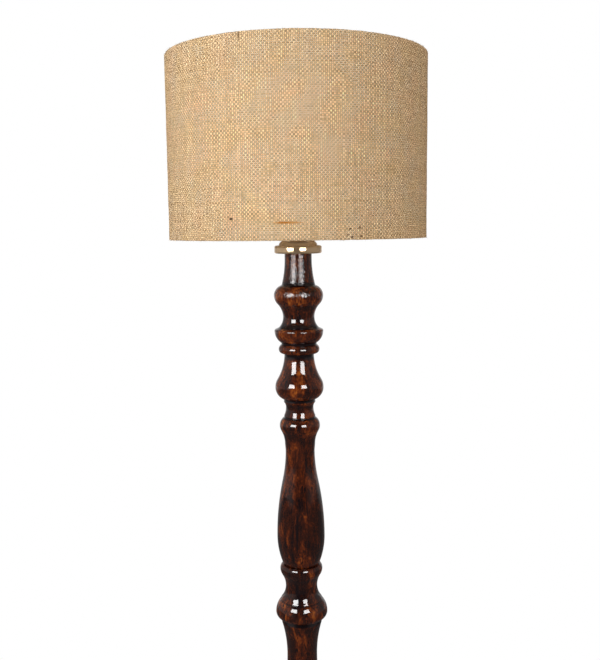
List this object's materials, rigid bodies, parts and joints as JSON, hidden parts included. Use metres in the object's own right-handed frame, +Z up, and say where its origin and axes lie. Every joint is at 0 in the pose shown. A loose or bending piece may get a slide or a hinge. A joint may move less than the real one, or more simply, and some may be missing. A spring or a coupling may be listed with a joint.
{
  "type": "floor lamp",
  "caption": "Candlestick floor lamp with a turned dark wood column, weighted round base, brass cap, harp and burlap drum shade.",
  "frame": {"origin": "centre of the circle of feet, on the floor", "axes": "+Z up along the column's axis; +Y to the rear, where the cord gland is; +X to the right seen from the front; the harp lies in the XZ plane"},
  "size_m": [0.4064, 0.4062, 1.524],
  "materials": {
    "turned_wood": "glossy dark lacquer",
    "rubber": "matte",
    "iron_weight": "rough cast",
    "cover_steel": "black satin paint",
    "zinc_steel": "zinc plated",
    "polished_brass": "polished, lacquered",
    "socket_brass": "bright",
    "liner_board": "matte",
    "phenolic": "satin black",
    "shell_aluminium": "bright",
    "switch_plastic": "satin black",
    "block_nylon": "natural nylon",
    "flex_sheath": "dark brown sheath",
    "solder": "solder",
    "bulb_plastic": "white",
    "bulb_diffuser": "opal",
    "board_white": "white solder mask",
    "jute_burlap": "open plain weave",
    "shade_styrene": "matte white",
    "frame_enamel": "white enamel"
  },
  "bodies": {
    "lamp": {"feet": "rubber", "base_disc": "turned_wood", "base_weight": "iron_weight", "base_cover": "cover_steel", "bottom_washer": "zinc_steel", "bottom_nut": "zinc_steel", "cord_gland": "switch_plastic", "terminal_block": "block_nylon", "internal_flex": "flex_sheath", "base_riser": "turned_wood", "column_foot": "turned_wood", "column_middle": "turned_wood", "column_upper": "turned_wood", "column_head": "turned_wood", "stem_rod": "zinc_steel", "brass_cap": "polished_brass", "harp_saddle": "polished_brass", "harp": "polished_brass", "harp_stud": "zinc_steel", "socket_cap": "socket_brass", "socket_shell": "socket_brass", "socket_liner": "liner_board", "socket_block": "phenolic", "screw_shell": "shell_aluminium", "contact_spring": "socket_brass"},
    "sleeve_left": {"harp_sleeve_left": "polished_brass"},
    "sleeve_right": {"harp_sleeve_right": "polished_brass"},
    "shade": {"shade_jute": "jute_burlap", "shade_liner": "shade_styrene", "shade_bottom_ring": "frame_enamel", "shade_top_ring": "frame_enamel", "shade_spider": "frame_enamel"},
    "finial_base": {"finial_neck": "polished_brass"},
    "finial_ball": {"finial_knob": "polished_brass"},
    "bulb_base": {"bulb_contact": "solder", "bulb_insulator": "phenolic"},
    "bulb": {"bulb_cap": "shell_aluminium", "bulb_body": "bulb_plastic", "led_board": "board_white", "bulb_dome": "bulb_diffuser"},
    "switch": {"switch_spindle": "polished_brass", "switch_knob": "switch_plastic"}
  },
  "joints": [
    {"name": "shade_swivel", "type": "hinge", "parent": "lamp", "child": "shade", "pos_m": [0, 0, 1.4975], "axis": [0, 0, 1], "continuous": true},
    {"name": "finial_rise", "type": "slide", "parent": "lamp", "child": "finial_base", "axis": [0, 0, 1], "range_m": [0, 0.0105]},
    {"name": "finial_turn", "type": "hinge", "parent": "finial_base", "child": "finial_ball", "pos_m": [0, 0, 1.51], "axis": [0, 0, 1], "range_deg": [0, 3960]},
    {"name": "bulb_rise", "type": "slide", "parent": "lamp", "child": "bulb_base", "axis": [0, 0, 1], "range_m": [0, 0.0183]},
    {"name": "bulb_turn", "type": "hinge", "parent": "bulb_base", "child": "bulb", "pos_m": [0, 0, 1.28], "axis": [0, 0, 1], "range_deg": [0, 1800]},
    {"name": "switch_turn", "type": "hinge", "parent": "lamp", "child": "switch", "pos_m": [0, -0.03, 1.2645], "axis": [0, -1, 0], "continuous": true},
    {"name": "sleeve_left_lift", "type": "slide", "parent": "lamp", "child": "sleeve_left", "axis": [0, 0, 1], "range_m": [0, 0.012]},
    {"name": "sleeve_right_lift", "type": "slide", "parent": "lamp", "child": "sleeve_right", "axis": [0, 0, 1], "range_m": [0, 0.012]}
  ],
  "couplings": [
    {"joint": "finial_rise", "follows": "finial_turn", "m_per_rad": 0.00014972},
    {"joint": "bulb_rise", "follows": "bulb_turn", "m_per_rad": 0.0005775}
  ]
}
